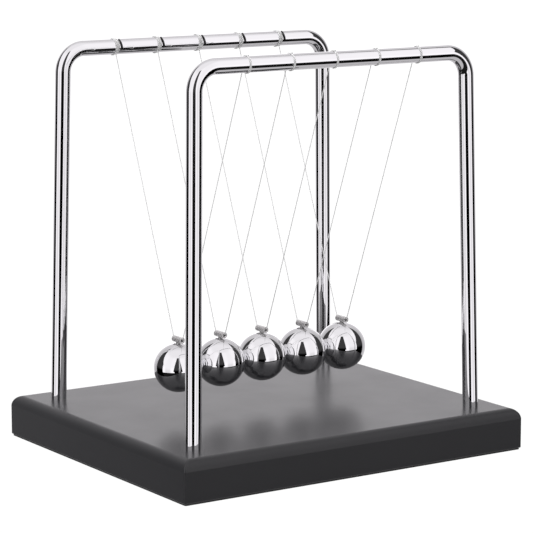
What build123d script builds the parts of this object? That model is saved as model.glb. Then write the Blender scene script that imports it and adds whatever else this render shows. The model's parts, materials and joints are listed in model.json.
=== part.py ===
from build123d import *
from math import atan2, cos, hypot, radians, sin, tan
import os

# Newton's cradle, millimetres, +Z up, front towards -Y, balls in a row along X.
# Origin: middle of the underside of the base.

# base
base_length = 178.5
base_width = 152.0
board_thick = 18.0
pad_thick = 0.8
pad_inset = 0.6
top_round = 4.6
corner_round = 0.8
edge_break = 0.3
overshoot = 2.0

# frames: two bent rods whose legs spread slightly towards the base
rod_d = 7.0
bar_z = 178.6
bar_y = 55.2
bar_half = 70.6
foot_half_x = 74.2
foot_half_y = 58.3
bend_r = 10.5

# leg fixings
socket_depth = 11.0
counterbore_d = 9.6
counterbore_depth = 4.0
clearance_d = 4.4
thread_d = 4.0
thread_reach = 9.0
tapping_extra = 1.0
washer_d = 8.8
washer_bore = 4.3
washer_thick = 0.8
head_d = 7.4
head_h = 2.2
key_across = 2.5
key_depth = 1.3

# balls and hangers; the row hangs a little off the middle of the bars
ball_d = 22.0
ball_gap = 0.2
ball_count = 5
ball_z = 40.1
row_offset = -0.8
stud_d = 2.0
stud_reach = 4.0
saddle_drop = 0.675
drill_extra = 0.3
tube_d = 2.7
tube_bore = 1.2
tube_length = 7.0
tube_rise = 1.6
mouth_flare = 0.2
rim_break = 0.1

# suspension line, knots and turns
line_d = 0.4
line_bend = 0.5
corner_reach = 0.235
bore_play = 0.01
knot_d = 0.9
knot_lift = 0.16
knot_break = 0.2
knot_gap = 0.1
knot_angle = 45.0
turn_count = 2
turn_pitch = 0.38

rod_r = rod_d / 2
ball_r = ball_d / 2
line_r = line_d / 2
ball_pitch = ball_d + ball_gap
base_top = pad_thick + board_thick
tube_z = ball_z + ball_r + tube_rise
knot_offset = rod_r + knot_lift + knot_d / 2
knot_y = bar_y - knot_offset * cos(radians(knot_angle))
knot_z = bar_z - knot_offset * sin(radians(knot_angle))
lean = atan2(foot_half_y - bar_y, bar_z)
bar_rise = hypot(foot_half_y - bar_y, bar_z)
splay = atan2(foot_half_x - bar_half, bar_rise)
ball_x = [row_offset + (i - (ball_count - 1) / 2) * ball_pitch for i in range(ball_count)]
sides = {"front": -1, "rear": 1}
corners = {"fl": (-1, -1), "fr": (1, -1), "rl": (-1, 1), "rr": (1, 1)}


def leg_plane(side_x, side_y, height):
    """Plane across a leg axis where it passes this height, facing up the leg."""
    along = Vector(-side_x * tan(splay), -side_y * sin(lean), cos(lean))
    foot = Vector(side_x * foot_half_x, side_y * foot_half_y, 0)
    return Plane(origin=foot + along * (height / cos(lean)), x_dir=(1, 0, 0), z_dir=along)


def frame_plane(side_y):
    """Leaning plane of one frame: local x along the bar, local y up the frame."""
    return Plane(
        origin=(0, side_y * foot_half_y, 0),
        x_dir=(1, 0, 0),
        z_dir=(0, -cos(lean), -side_y * sin(lean)),
    )


socket_floor = base_top - socket_depth
seat = pad_thick + counterbore_depth

# base board: top edges rounded over, four leg sockets with bolt holes from below
with BuildPart() as base_board:
    with BuildSketch(Plane.XY.offset(pad_thick)):
        Rectangle(base_length, base_width)
    extrude(amount=board_thick)
    fillet(base_board.edges().filter_by(Axis.Z), radius=corner_round)
    fillet(base_board.edges().group_by(Axis.Z)[-1], radius=top_round)
    chamfer(base_board.edges().group_by(Axis.Z)[0], length=edge_break)
    for side_x, side_y in corners.values():
        with BuildSketch(leg_plane(side_x, side_y, socket_floor)):
            Circle(rod_r)
        extrude(amount=socket_depth + overshoot, mode=Mode.SUBTRACT)
        with BuildSketch(leg_plane(side_x, side_y, seat)):
            Circle(clearance_d / 2)
        extrude(amount=socket_depth, mode=Mode.SUBTRACT)
        with BuildSketch(leg_plane(side_x, side_y, seat)):
            Circle(counterbore_d / 2)
        extrude(amount=-(counterbore_depth + overshoot), mode=Mode.SUBTRACT)
base_board.part.label = "base_board"

# thin cushion sheet glued under the board, closing the counterbores
with BuildPart() as base_pad:
    with BuildSketch(Plane.XY):
        RectangleRounded(base_length - 2 * pad_inset, base_width - 2 * pad_inset, corner_round)
    extrude(amount=pad_thick)
base_pad.part.label = "base_pad"


def bent_frame(side_y, label):
    """One rod bent into an inverted U, its leg ends drilled for the bolts."""
    start = socket_floor / cos(lean)
    foot_x = foot_half_x - start * tan(splay)
    with BuildPart() as frame:
        with BuildLine(frame_plane(side_y)) as path:
            FilletPolyline(
                (-foot_x, start),
                (-bar_half, bar_rise),
                (bar_half, bar_rise),
                (foot_x, start),
                radius=bend_r,
            )
        with BuildSketch(Plane(origin=path.line @ 0, z_dir=path.line % 0)):
            Circle(rod_r)
        sweep(path=path.line)
        for side_x in (-1, 1):
            with BuildSketch(leg_plane(side_x, side_y, socket_floor)):
                Circle(thread_d / 2)
            extrude(amount=thread_reach + tapping_extra, mode=Mode.SUBTRACT)
    frame.part.label = label
    return frame.part


def leg_bolt(side_x, side_y, label):
    """Cap screw, seated on its washer and reaching up into the leg."""
    with BuildPart() as bolt:
        under_head = leg_plane(side_x, side_y, seat).offset(-washer_thick)
        with BuildSketch(under_head):
            Circle(head_d / 2)
        extrude(amount=-head_h)
        chamfer(bolt.edges().group_by(Axis.Z)[0], length=edge_break)
        with BuildSketch(under_head):
            Circle(thread_d / 2)
        extrude(amount=washer_thick + (socket_floor - seat) + thread_reach)
        with BuildSketch(under_head.offset(-head_h)):
            RegularPolygon(key_across / 2, 6, major_radius=False)
        extrude(amount=key_depth, mode=Mode.SUBTRACT)
    bolt.part.label = label
    return bolt.part


def leg_washer(side_x, side_y, label):
    """Flat washer against the counterbore seat."""
    with BuildPart() as washer:
        with BuildSketch(leg_plane(side_x, side_y, seat)):
            Circle(washer_d / 2)
            Circle(washer_bore / 2, mode=Mode.SUBTRACT)
        extrude(amount=-washer_thick)
    washer.part.label = label
    return washer.part


def steel_ball(x, label):
    """Solid ball with a blind hole in its crown for the hanger stud."""
    with BuildPart() as ball:
        with Locations((x, 0, ball_z)):
            Sphere(ball_r)
        with BuildSketch(Plane.XY.offset(ball_z + ball_r - stud_reach - drill_extra)):
            with Locations((x, 0)):
                Circle(stud_d / 2)
        extrude(amount=stud_reach + drill_extra + overshoot, mode=Mode.SUBTRACT)
    ball.part.label = label
    return ball.part


def hanger_stud(x, label):
    """Short pin standing in the ball, its top hollowed to carry the tube."""
    with BuildPart() as stud:
        with BuildSketch(Plane.XY.offset(ball_z + ball_r - stud_reach)):
            with Locations((x, 0)):
                Circle(stud_d / 2)
        extrude(amount=stud_reach + tube_rise - saddle_drop)
        with BuildSketch(Plane.XZ.offset(-tube_length)):
            with Locations((x, tube_z)):
                Circle(tube_d / 2)
        extrude(amount=2 * tube_length, mode=Mode.SUBTRACT)
    stud.part.label = label
    return stud.part


def hanger_tube(x, label):
    """Small cross tube the line runs through, lying along Y."""
    with BuildPart() as tube:
        with BuildSketch(Plane.XZ.offset(-tube_length / 2)):
            with Locations((x, tube_z)):
                Circle(tube_d / 2)
                Circle(tube_bore / 2, mode=Mode.SUBTRACT)
        extrude(amount=tube_length)
        mouths = tube.edges().filter_by(GeomType.CIRCLE).group_by(SortBy.RADIUS)
        chamfer(mouths[0], length=mouth_flare)
        chamfer(mouths[-1], length=rim_break)
    tube.part.label = label
    return tube.part


def suspension_line(x, label):
    """One line from the rear knot down through the tube and up to the front knot."""
    run_z = tube_z + tube_bore / 2 - bore_play - line_r
    corner_y = tube_length / 2 + corner_reach
    reach = hypot(knot_y - corner_y, knot_z - run_z)
    stop = (reach - knot_d / 2 - knot_gap) / reach
    end_y = corner_y + (knot_y - corner_y) * stop
    end_z = run_z + (knot_z - run_z) * stop
    with BuildPart() as line:
        with BuildLine(Plane(origin=(x, 0, 0), x_dir=(0, 1, 0), z_dir=(1, 0, 0))) as path:
            FilletPolyline(
                (-end_y, end_z),
                (-corner_y, run_z),
                (corner_y, run_z),
                (end_y, end_z),
                radius=line_bend,
            )
        with BuildSketch(Plane(origin=path.line @ 0, z_dir=path.line % 0)):
            Circle(line_r)
        sweep(path=path.line)
    line.part.label = label
    return line.part


def line_turns(x, side_y, label):
    """Knot low on the inner side, and the turns of line round the bar that it closes."""
    with BuildPart() as turns:
        with Locations(Location((x, side_y * knot_y, knot_z), (90, 0, 0))):
            Cylinder(knot_d / 2, knot_d)
        chamfer(turns.edges().filter_by(GeomType.CIRCLE), length=knot_break)
        with BuildSketch(Plane.XZ.offset(-side_y * bar_y)):
            for turn in range(turn_count):
                turn_x = x + (turn - (turn_count - 1) / 2) * turn_pitch
                with Locations((turn_x, bar_z + rod_r + line_r)):
                    Circle(line_r)
            with Locations((x, bar_z + rod_r + line_r / 2)):
                Rectangle((turn_count - 1) * turn_pitch + line_r, line_r)
        revolve(axis=Axis((0, side_y * bar_y, bar_z), (1, 0, 0)), revolution_arc=360)
    turns.part.label = label
    return turns.part


pieces = [base_board.part, base_pad.part]
for side, side_y in sides.items():
    pieces.append(bent_frame(side_y, f"frame_{side}"))
for corner, (side_x, side_y) in corners.items():
    pieces.append(leg_bolt(side_x, side_y, f"leg_bolt_{corner}"))
    pieces.append(leg_washer(side_x, side_y, f"leg_washer_{corner}"))
for number, x in enumerate(ball_x, start=1):
    pieces.append(steel_ball(x, f"ball_{number}"))
    pieces.append(hanger_stud(x, f"stud_{number}"))
    pieces.append(hanger_tube(x, f"tube_{number}"))
    pieces.append(suspension_line(x, f"line_{number}"))
    for side, side_y in sides.items():
        pieces.append(line_turns(x, side_y, f"turns_{side}_{number}"))

os.makedirs("parts", exist_ok=True)
for piece in pieces:
    export_step(piece, f"parts/{piece.label}.step")
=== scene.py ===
import json
from math import cos, pi, radians, sin, tan

import bpy
from mathutils import Matrix, Vector


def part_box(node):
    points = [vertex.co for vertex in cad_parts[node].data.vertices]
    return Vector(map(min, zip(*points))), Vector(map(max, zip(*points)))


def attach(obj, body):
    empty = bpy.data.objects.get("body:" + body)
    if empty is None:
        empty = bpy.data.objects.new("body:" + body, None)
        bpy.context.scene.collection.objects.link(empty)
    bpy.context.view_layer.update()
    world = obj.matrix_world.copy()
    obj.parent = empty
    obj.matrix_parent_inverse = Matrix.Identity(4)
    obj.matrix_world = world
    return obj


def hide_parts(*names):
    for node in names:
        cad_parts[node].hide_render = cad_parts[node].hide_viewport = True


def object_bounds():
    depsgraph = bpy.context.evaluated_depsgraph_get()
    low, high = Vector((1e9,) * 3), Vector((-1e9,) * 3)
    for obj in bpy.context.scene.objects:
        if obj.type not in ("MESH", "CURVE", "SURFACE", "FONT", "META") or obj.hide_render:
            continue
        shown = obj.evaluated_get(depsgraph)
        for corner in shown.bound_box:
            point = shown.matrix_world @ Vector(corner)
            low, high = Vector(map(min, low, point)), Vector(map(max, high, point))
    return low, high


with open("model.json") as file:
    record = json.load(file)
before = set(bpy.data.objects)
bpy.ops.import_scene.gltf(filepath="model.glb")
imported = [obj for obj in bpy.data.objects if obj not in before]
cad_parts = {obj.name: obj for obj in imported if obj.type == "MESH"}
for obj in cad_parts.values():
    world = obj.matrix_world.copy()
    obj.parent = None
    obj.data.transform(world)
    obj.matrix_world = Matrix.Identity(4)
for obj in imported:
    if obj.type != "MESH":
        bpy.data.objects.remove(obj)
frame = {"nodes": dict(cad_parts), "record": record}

cad_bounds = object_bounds()
low, high = (Vector(corner) for corner in cad_bounds)
centre = (low + high) / 2
nodes = frame["nodes"]
row_count = sum(name.startswith("ball_") for name in nodes)

# camera: a long lens looking a little down on the near left corner
VIEW_AZIMUTH = -33.67
VIEW_ELEVATION = 9.62
VIEW_DISTANCE = 1.120
LENS_MM = 168.0
SENSOR_MM = 36.0
AIM_OFFSET = Vector((0.0003, -0.0022, -0.0097))

# light tent, as the polished parts see it; a level of 1.0 is white. A tuple is a ramp: the two angles
# it runs between, in degrees, then the values at its ends where they aren't 0 and 1
PANEL_MIDDLE = 49.0
PANEL_LEVEL = (-10.0, 6.0, 0.82, 0.98)
PANEL_EDGES = (8.0, 20.0)
PANEL_EDGE_FADE = (0.0, 14.0, 1.0, 0.3)
PANEL_EDGE_LEVEL = 1.10
PANEL_TOP = (46.0, 62.0)
PANEL_FOOT = (30.0, 75.0, -15.0, -12.0)
CEILING_LEVEL = (92.0, 114.0, 0.90, 0.74)
SLOT_HALF_WIDTH = (-10.0, 54.0, 19.0, 7.5)
SLOT_FOOT = (-12.0, -8.0, 0.86, 1.14)
SLOT_TOP = 55.0
SHADE_LEVEL = (-8.0, 2.0, 0.0, 0.045)
FOREGROUND_LEVEL = 0.01
GAP_START = (15.0, 68.0, 76.0, 118.0)
BACKDROP_START = 118.5
BACKDROP_LEVEL = (110.0, 175.0, 0.40, 0.88)
BACKDROP_GLOW = (154.0, 170.0, 0.0, 0.58)
OVERHEAD_START = (28.0, 60.0)
OVERHEAD_LEVEL = 0.74
TABLE_EDGE = (-43.0, -42.0, 1.0, 0.0)
TABLE_LEVEL = 0.52
SEEN_LEVEL = 1.04
TENT_COLOUR = (0.995, 0.97, 1.0, 1)

# floor, metres
FLOOR_HALF = 3.0
FLOOR_GAP = 0.0002

# bent rods, metres
ROD_RADIUS = 0.0035
ROD_SIDES = 96
BAR_HALF = 0.0706
BEND_RADIUS = 0.0105
BEND_STEPS = 40
BORE_RADIUS = 0.002
BORE_DEPTH = 0.010
FOOT_GAP = 0.0001

# turns of line round the bars, metres and degrees
LINE_RADIUS = 0.0002
TURN_COUNT = 2
TURN_PITCH = 0.00038
TURN_STEPS = 120
TURN_SIDES = 14
KNOT_OFFSET = 0.00411
KNOT_ANGLE = -45
KNOT_RADIUS = 0.00028
KNOT_TURNS = 2.5
KNOT_STEPS = 60
STRAND_SIDES = 12

# strands laid over the bar, and a near-black strand of painted shade for the dark hook beside each wrap:
# angles are (first, step, count), shifts run along the bar
LAID_ANGLES = (72, -5, 24)
LAID_SHIFTS = (0.0007, 0.0011, 0.0015)
# the near-black painted-shade strand: its angles, shift along the bar, drift per point and radius
SHADE_STRAND_ANGLES = (62, -3.8, 21)
SHADE_STRAND_SHIFT = 0.0022
SHADE_STRAND_DRIFT = 0.00004
SHADE_STRAND_RADIUS = 0.00035


def direction(azimuth, elevation):
    """Unit vector towards a viewer; azimuth 0 stands in front, at -Y."""
    a, e = radians(azimuth), radians(elevation)
    return Vector((sin(a) * cos(e), -cos(a) * cos(e), sin(e)))


def add_camera():
    """Camera aimed AIM_OFFSET away from the middle of the part."""
    back = direction(VIEW_AZIMUTH, VIEW_ELEVATION)
    right = Vector((cos(radians(VIEW_AZIMUTH)), sin(radians(VIEW_AZIMUTH)), 0))
    up = back.cross(right)
    data = bpy.data.cameras.new("camera")
    data.lens = LENS_MM
    data.sensor_width = SENSOR_MM
    data.clip_start = 0.05
    camera = bpy.data.objects.new("camera", data)
    turn = Matrix((right, up, back)).transposed().to_4x4()
    camera.matrix_world = Matrix.Translation(centre + AIM_OFFSET + back * VIEW_DISTANCE) @ turn
    bpy.context.collection.objects.link(camera)
    bpy.context.scene.camera = camera


add_camera()


# ---------------------------------------------------------------- node helpers

class Tree:
    """Adds shader nodes with little typing."""

    def __init__(self, tree):
        self.tree = tree

    def node(self, kind, **settings):
        item = self.tree.nodes.new(kind)
        for name, value in settings.items():
            setattr(item, name, value)
        return item

    def link(self, source, target):
        self.tree.links.new(source, target)

    def feed(self, socket, value):
        if isinstance(value, (int, float, tuple)):
            socket.default_value = value
        else:
            self.link(value, socket)

    def math(self, operation, a, b=0.0):
        item = self.node("ShaderNodeMath", operation=operation)
        for socket, value in zip(item.inputs, (a, b)):
            self.feed(socket, value)
        return item.outputs[0]

    def ramp(self, value, low, high, start=0.0, end=1.0, kind="SMOOTHSTEP"):
        """start below low, end above high, and a steady change between."""
        item = self.node("ShaderNodeMapRange", interpolation_type=kind)
        for socket, number in zip(item.inputs, (value, low, high, start, end)):
            self.feed(socket, number)
        return item.outputs[0]

    def mix(self, factor, a, b):
        """a where factor is 0, b where it is 1."""
        item = self.node("ShaderNodeMix", data_type="FLOAT")
        for socket, value in zip((item.inputs[0], item.inputs[2], item.inputs[3]), (factor, a, b)):
            self.feed(socket, value)
        return item.outputs[0]

    def noise(self, scale, detail=2.0, roughness=0.5, stretch=(1.0, 1.0, 1.0)):
        """Noise fixed to the object, 0 to 1."""
        place = self.node("ShaderNodeTexCoord")
        mapping = self.node("ShaderNodeMapping")
        mapping.inputs["Scale"].default_value = stretch
        self.link(place.outputs["Object"], mapping.inputs["Vector"])
        item = self.node("ShaderNodeTexNoise")
        item.inputs["Scale"].default_value = scale
        item.inputs["Detail"].default_value = detail
        item.inputs["Roughness"].default_value = roughness
        self.link(mapping.outputs[0], item.inputs["Vector"])
        return item.outputs["Fac"]


# ---------------------------------------------------------------- studio

def light_tent():
    """World: two tall front panels with a dark slot between them, a pale backdrop, dark side gaps."""
    world = bpy.data.worlds.new("tent")
    bpy.context.scene.world = world
    world.use_nodes = True
    world.node_tree.nodes.clear()
    t = Tree(world.node_tree)
    place = t.node("ShaderNodeTexCoord")
    turn = t.node("ShaderNodeMapping")
    turn.inputs["Rotation"].default_value = (0, 0, radians(-VIEW_AZIMUTH))
    t.link(place.outputs["Generated"], turn.inputs["Vector"])
    split = t.node("ShaderNodeSeparateXYZ")
    t.link(turn.outputs[0], split.inputs[0])
    x, y, z = split.outputs
    toward = t.math("MULTIPLY", y, -1.0)
    side = t.math("ABSOLUTE", x)
    deg = 180 / pi
    around = t.math("MULTIPLY", t.math("ARCTAN2", side, toward), deg)
    off_axis = t.math("MULTIPLY", t.math("ARCCOSINE", toward), deg)
    tilt = t.math("MULTIPLY", t.math("ARCTAN2", z, side), deg)
    height = t.math("MULTIPLY", t.math("ARCSINE", z), deg)

    # front panels, a little brighter along their edges, and the ceiling over them
    from_middle = t.math("ABSOLUTE", t.math("SUBTRACT", around, PANEL_MIDDLE))
    edge_fade = t.ramp(height, *PANEL_EDGE_FADE)
    edge_glow = t.math("MULTIPLY", t.ramp(from_middle, *PANEL_EDGES), edge_fade)
    panel = t.mix(edge_glow, t.ramp(height, *PANEL_LEVEL), PANEL_EDGE_LEVEL)
    ceiling = t.ramp(off_axis, *CEILING_LEVEL)
    front = t.mix(t.ramp(height, *PANEL_TOP), panel, ceiling)

    # dark slot between the panels, narrowing upwards to a blunt top
    shade = t.ramp(height, *SHADE_LEVEL)
    slot_taper = t.ramp(height, *SLOT_HALF_WIDTH, "LINEAR")
    slot_edge = t.math("MULTIPLY", slot_taper, t.ramp(height, *SLOT_FOOT))
    slot_low = t.math("LESS_THAN", height, SLOT_TOP)
    in_slot = t.math("MULTIPLY", t.math("LESS_THAN", around, slot_edge), slot_low)
    slotted = t.mix(in_slot, front, shade)

    # the studio floor in front of the panels is dark
    to_right = t.math("MULTIPLY", t.math("ARCTAN2", x, toward), deg)
    panel_foot = t.ramp(to_right, *PANEL_FOOT, "LINEAR")
    near_half = t.mix(t.math("LESS_THAN", height, panel_foot), slotted, FOREGROUND_LEVEL)

    # backdrop: dim at its edges, bright right behind the object, even overhead
    sweep = t.ramp(off_axis, *BACKDROP_LEVEL, "LINEAR")
    glow = t.math("ADD", sweep, t.ramp(off_axis, *BACKDROP_GLOW))
    far_half = t.mix(t.ramp(height, *OVERHEAD_START), glow, OVERHEAD_LEVEL)

    # dark gap between the panels and the backdrop, closing overhead, and the lit table below it all
    in_gap = t.math("GREATER_THAN", off_axis, t.ramp(tilt, *GAP_START, "LINEAR"))
    behind = t.math("GREATER_THAN", off_axis, BACKDROP_START)
    side_half = t.mix(in_gap, near_half, shade)
    walls = t.mix(behind, side_half, far_half)
    tent = t.mix(t.ramp(height, *TABLE_EDGE), walls, TABLE_LEVEL)

    # seen by the camera itself, the surroundings are plain white
    camera_ray = t.node("ShaderNodeLightPath").outputs["Is Camera Ray"]
    strength = t.mix(camera_ray, tent, SEEN_LEVEL)
    shine = t.node("ShaderNodeBackground")
    shine.inputs["Color"].default_value = TENT_COLOUR
    t.link(strength, shine.inputs["Strength"])
    out = t.node("ShaderNodeOutputWorld")
    t.link(shine.outputs[0], out.inputs[0])


def add_floor():
    """Plain white floor, seen by the camera but kept out of the polished parts."""
    mesh = bpy.data.meshes.new("floor")
    signs = ((-1, -1), (1, -1), (1, 1), (-1, 1))
    corners = [(x * FLOOR_HALF, y * FLOOR_HALF, 0) for x, y in signs]
    mesh.from_pydata(corners, [], [(0, 1, 2, 3)])
    floor = bpy.data.objects.new("floor", mesh)
    floor.location.z = low.z - FLOOR_GAP
    bpy.context.collection.objects.link(floor)
    paint = bpy.data.materials.new("floor_paint")
    paint.use_nodes = True
    shader = paint.node_tree.nodes["Principled BSDF"]
    shader.inputs["Base Color"].default_value = (0.03, 0.03, 0.03, 1)
    shader.inputs["Roughness"].default_value = 0.9
    shader.inputs["Specular IOR Level"].default_value = 0.0
    shader.inputs["Emission Color"].default_value = (1, 1, 1, 1)
    shader.inputs["Emission Strength"].default_value = 1.0
    mesh.materials.append(paint)
    floor.visible_glossy = False


def add_light(name, energy, spread, towards):
    """Large soft light that the polished parts don't mirror."""
    data = bpy.data.lights.new(name, "SUN")
    data.energy = energy
    data.angle = radians(spread)
    lamp = bpy.data.objects.new(name, data)
    lamp.rotation_mode = "QUATERNION"
    lamp.rotation_quaternion = towards.to_track_quat("Z", "Y")
    lamp.visible_glossy = False
    bpy.context.collection.objects.link(lamp)


light_tent()
add_floor()
add_light("overhead", 2.4, 120, Vector((0, 0, 1)))
add_light("left_fill", 2.0, 60, direction(-95, 20))
bpy.context.scene.view_settings.view_transform = "Standard"


# ---------------------------------------------------------------- materials

def new_material(name):
    """New material, its tree and its shader."""
    material = bpy.data.materials.new(name)
    material.use_nodes = True
    tree = Tree(material.node_tree)
    return material, tree, material.node_tree.nodes["Principled BSDF"]


def grey(level):
    """Neutral colour."""
    return (level, level, level)


def tint(t, factor, dark, light):
    """Colour ramp between two colours."""
    item = t.node("ShaderNodeValToRGB")
    item.color_ramp.elements[0].color = (*dark, 1)
    item.color_ramp.elements[1].color = (*light, 1)
    t.link(factor, item.inputs[0])
    return item.outputs[0]


def bump(t, shader, height, distance, strength=1.0):
    """Fine relief; distance is its depth in metres."""
    item = t.node("ShaderNodeBump")
    item.inputs["Distance"].default_value = distance
    item.inputs["Strength"].default_value = strength
    t.link(height, item.inputs["Height"])
    t.link(item.outputs[0], shader.inputs["Normal"])


def metal(name, dark, light, rough_low, rough_high, scale, grain, depth, stretch=(1.0, 1.0, 1.0)):
    """Metal with faint tone and polish variation and a fine surface texture."""
    material, t, shader = new_material(name)
    shader.inputs["Metallic"].default_value = 1.0
    patches = t.noise(scale, 4.0, 0.6)
    t.link(tint(t, patches, dark, light), shader.inputs["Base Color"])
    smear = t.noise(scale * 3, 5.0, 0.65)
    t.link(t.ramp(smear, 0.35, 0.75, rough_low, rough_high), shader.inputs["Roughness"])
    bump(t, shader, t.noise(grain, 2.0, 0.5, stretch), depth)
    return material


def lacquer():
    """Satin black sprayed lacquer over fibreboard: fine orange peel and faint rubbed patches."""
    material, t, shader = new_material("satin_black_lacquer")
    patches = t.noise(18, 4.0, 0.6)
    t.link(tint(t, patches, (0.012, 0.012, 0.013), (0.016, 0.016, 0.0175)), shader.inputs["Base Color"])
    t.link(t.ramp(t.noise(45, 5.0, 0.6), 0.3, 0.8, 0.285, 0.315), shader.inputs["Roughness"])
    shader.inputs["Specular IOR Level"].default_value = 0.42
    bump(t, shader, t.noise(700, 1.0), 2e-6, 0.2)
    return material


def nylon(name, dark, light, clear):
    """Clear drawn line, slightly milky."""
    material, t, shader = new_material(name)
    t.link(tint(t, t.noise(300), dark, light), shader.inputs["Base Color"])
    t.link(t.ramp(t.noise(900), 0.3, 0.7, 0.15, 0.3), shader.inputs["Roughness"])
    shader.inputs["Transmission Weight"].default_value = clear
    shader.inputs["IOR"].default_value = 1.53
    bump(t, shader, t.noise(2500), 5e-6, 0.4)
    return material


def foam():
    """Black cellular rubber sheet."""
    material, t, shader = new_material("black_foam")
    cells = t.noise(700, 4.0)
    t.link(tint(t, cells, grey(0.012), grey(0.03)), shader.inputs["Base Color"])
    t.link(t.ramp(t.noise(300), 0.3, 0.7, 0.8, 0.95), shader.inputs["Roughness"])
    bump(t, shader, t.noise(1800, 3.0), 1e-4, 0.8)
    return material


# each metal: darkest and lightest tone, roughness range, patch and grain scale, grain depth in metres
CHROME_DARK = (0.88, 0.88, 0.89)
CHROME_LIGHT = (0.93, 0.93, 0.94)
NICKEL_DARK = (0.70, 0.695, 0.69)
NICKEL_LIGHT = (1.0, 0.99, 0.98)
TURNING_LINES = (1, 1, 6)

MATERIALS = {
    "board": lacquer(),
    "pad": foam(),
    "frame": metal("chrome_plate", CHROME_DARK, CHROME_LIGHT, 0.002, 0.012, 30, 400, 5e-7),
    "ball": metal("polished_steel", CHROME_DARK, CHROME_LIGHT, 0.002, 0.014, 60, 500, 5e-7),
    "stud": metal("turned_steel", grey(0.3), (0.5, 0.5, 0.49), 0.3, 0.45, 300, 4000, 1e-5, TURNING_LINES),
    "tube": metal("nickel_tube", NICKEL_DARK, NICKEL_LIGHT, 0.5, 0.65, 900, 3000, 3e-5),
    "bolt": metal("zinc_plate", (0.5, 0.51, 0.53), (0.66, 0.67, 0.7), 0.25, 0.4, 120, 1500, 1e-5),
    "washer": metal("zinc_washer", (0.52, 0.53, 0.55), (0.68, 0.69, 0.7), 0.28, 0.42, 120, 1500, 1e-5),
    "line": nylon("nylon_line", grey(0.48), grey(0.57), 0.05),
    "turns": nylon("nylon_turns", grey(0.62), grey(0.92), 0.5),
}
# painted shade: near-black line material for the strand that stands in for the dark hook beside each wrap
PAINTED_SHADE = nylon("painted_shade_strand", grey(0.002), grey(0.006), 0.0)

for part in frame["record"]["subparts"]:
    for slot in nodes[part["node"]].material_slots:
        slot.material = MATERIALS[part["material_slot"]]


# ---------------------------------------------------------------- swept pieces

class Skin:
    """Collects points, their normals and faces of one smooth mesh."""

    def __init__(self):
        self.points = []
        self.normals = []
        self.faces = []

    def ring(self, place, across, along, radius, sides, normal):
        """Adds one ring of points; normal(outward) gives the shading direction."""
        first = len(self.points)
        other = along.cross(across)
        for k in range(sides):
            angle = 2 * pi * k / sides
            outward = across * cos(angle) + other * sin(angle)
            self.points.append(place + outward * radius)
            self.normals.append(normal(outward))
        return first

    def band(self, a, b, sides):
        """Joins the rings that start at a and b."""
        for k in range(sides):
            m = (k + 1) % sides
            self.faces.append((a + k, a + m, b + m, b + k))

    def disc(self, place, across, along, radius, sides, facing):
        """Flat cap of a ring, looking along facing."""
        first = self.ring(place, across, along, radius, sides, lambda outward: facing)
        cap = list(range(first, first + sides))
        self.faces.append(cap if facing.dot(along) > 0 else cap[::-1])

    def bore(self, place, across, along, outer, sides, facing):
        """Ring-shaped end face with a blind hole behind it."""
        bottom = place - facing * BORE_DEPTH
        rim = self.ring(place, across, along, outer, sides, lambda outward: facing)
        lip = self.ring(place, across, along, BORE_RADIUS, sides, lambda outward: facing)
        mouth = self.ring(place, across, along, BORE_RADIUS, sides, lambda outward: -outward)
        depth = self.ring(bottom, across, along, BORE_RADIUS, sides, lambda outward: -outward)
        pairs = [(rim, lip), (mouth, depth)]
        if facing.dot(along) < 0:
            pairs = [(b, a) for a, b in pairs]
        for a, b in pairs:
            self.band(a, b, sides)
        self.disc(bottom, across, along, BORE_RADIUS, sides, facing)

    def strand(self, path, radius, sides, bored=False):
        """Round rod or line along a path, shaded as a true cylinder."""
        tangents = [(path[1] - path[0]).normalized()]
        for before, after in zip(path, path[2:]):
            tangents.append((after - before).normalized())
        tangents.append((path[-1] - path[-2]).normalized())
        across = tangents[0].orthogonal().normalized()
        end = self.bore if bored else self.disc
        end(path[0], across, tangents[0], radius, sides, -tangents[0])
        previous = None
        for place, along in zip(path, tangents):
            across = (across - along * across.dot(along)).normalized()
            current = self.ring(place, across, along, radius, sides, lambda outward: outward)
            if previous is not None:
                self.band(previous, current, sides)
            previous = current
        end(path[-1], across, tangents[-1], radius, sides, tangents[-1])

    def build(self, name, material, material_slot, *stands_for):
        """Makes the piece on the stand, in place of the CAD nodes it stands for."""
        mesh = bpy.data.meshes.new(name)
        mesh.from_pydata(self.points, [], self.faces)
        mesh.polygons.foreach_set("use_smooth", [True] * len(mesh.polygons))
        mesh.normals_split_custom_set_from_vertices(self.normals)
        mesh.materials.append(material)
        piece = bpy.data.objects.new(name, mesh)
        bpy.context.collection.objects.link(piece)
        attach(piece, "stand")
        if stands_for:
            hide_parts(*stands_for)


def bar_line(side):
    """Depth and height of a bar's axis, read off its frame's box."""
    lowest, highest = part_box(f"frame_{side}")
    depth = highest.y - ROD_RADIUS if side == "front" else lowest.y + ROD_RADIUS
    return depth, highest.z - ROD_RADIUS


def arc(start, corner, end, steps):
    """Points of the bend of BEND_RADIUS that cuts the corner."""
    before = (start - corner).normalized()
    after = (end - corner).normalized()
    half = before.angle(after) / 2
    axis = before.cross(after).normalized()
    middle = corner + (before + after).normalized() * (BEND_RADIUS / sin(half))
    first = corner + before * (BEND_RADIUS / tan(half)) - middle
    turned = pi - 2 * half
    return [middle + Matrix.Rotation(-turned * k / steps, 3, axis) @ first for k in range(steps + 1)]


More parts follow.
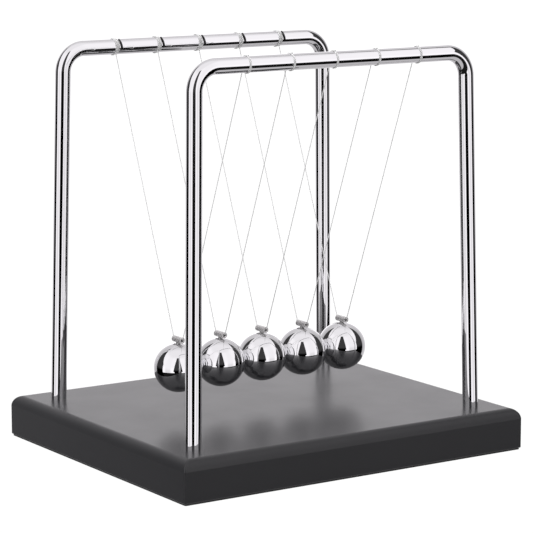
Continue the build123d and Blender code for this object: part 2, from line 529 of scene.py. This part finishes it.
def bent_rod(side):
    """One frame: a rod bent twice, drilled at both ends."""
    lowest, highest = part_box(f"frame_{side}")
    depth, height = bar_line(side)
    foot_depth = lowest.y + ROD_RADIUS if side == "front" else highest.y - ROD_RADIUS
    foot_height = lowest.z + FOOT_GAP
    foot_left = Vector((lowest.x + ROD_RADIUS, foot_depth, foot_height))
    foot_right = Vector((highest.x - ROD_RADIUS, foot_depth, foot_height))
    left = Vector((-BAR_HALF, depth, height))
    right = Vector((BAR_HALF, depth, height))
    path = [foot_left]
    path += arc(foot_left, left, right, BEND_STEPS)
    path += arc(left, right, foot_right, BEND_STEPS)
    path.append(foot_right)
    skin = Skin()
    skin.strand(path, ROD_RADIUS, ROD_SIDES, bored=True)
    skin.build(f"rod_{side}", MATERIALS["frame"], "frame", f"frame_{side}")


def helix(middle, axis, start, radius, pitch, turns, steps):
    """Points winding round an axis, from the direction start."""
    other = axis.cross(start)
    points = []
    for k in range(steps + 1):
        part = k / steps - 0.5
        angle = 2 * pi * turns * k / steps
        outward = start * cos(angle) + other * sin(angle)
        points.append(middle + axis * (part * pitch * turns) + outward * radius)
    return points


def around_bar(side, angle, radius):
    """Offset from a bar's axis; 0 degrees is level on the inner side, 90 on top."""
    inner = 1 if side == "front" else -1
    return Vector((0, inner * cos(radians(angle)), sin(radians(angle)))) * radius


def laid_path(side, bar, radius, angles, shift, drift=0.0):
    """Points laid over the bar: first angle, step and count, moving along the bar by the drift."""
    first, step, count = angles
    path = []
    for k in range(count):
        along_bar = Vector((shift + drift * k, 0, 0))
        path.append(bar + around_bar(side, first + step * k, radius) + along_bar)
    return path


def wound_line(side, number):
    """Turns of line round the bar, their knot, the strands laid over it, and a near-black strand of
    painted shade for the dark hook beside them.
    """
    depth, height = bar_line(side)
    lowest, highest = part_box(f"line_{number}")
    x = (lowest.x + highest.x) / 2
    bar = Vector((x, depth, height))
    to_knot = around_bar(side, KNOT_ANGLE, 1.0)
    knot = bar + to_knot * KNOT_OFFSET
    line_top = Vector((x, lowest.y if side == "front" else highest.y, highest.z))
    line_foot = Vector((x, 0, lowest.z))
    hang = (line_foot - line_top).normalized()
    along_bar = Vector((1, 0, 0))
    on_bar = ROD_RADIUS + LINE_RADIUS
    over_bar = ROD_RADIUS + SHADE_STRAND_RADIUS

    skin = Skin()
    turns = helix(bar, along_bar, to_knot, on_bar, TURN_PITCH, TURN_COUNT, TURN_STEPS)
    skin.strand(turns, LINE_RADIUS, TURN_SIDES)
    coil = helix(knot, hang, along_bar, KNOT_RADIUS, TURN_PITCH, KNOT_TURNS, KNOT_STEPS)
    skin.strand(coil, LINE_RADIUS, STRAND_SIDES)
    for shift in LAID_SHIFTS:
        skin.strand(laid_path(side, bar, on_bar, LAID_ANGLES, shift), LINE_RADIUS, STRAND_SIDES)
    skin.build(f"wound_{side}_{number}", MATERIALS["turns"], "turns", f"turns_{side}_{number}")

    # painted shade: a near-black strand laid over the bar, standing in for the dark hook beside the turns
    shade_strand = Skin()
    hook = laid_path(side, bar, over_bar, SHADE_STRAND_ANGLES, SHADE_STRAND_SHIFT, SHADE_STRAND_DRIFT)
    shade_strand.strand(hook, SHADE_STRAND_RADIUS, STRAND_SIDES)
    shade_strand.build(f"tail_{side}_{number}", PAINTED_SHADE, "turns")


for side in ("front", "rear"):
    bent_rod(side)
    for number in range(1, row_count + 1):
        wound_line(side, number)
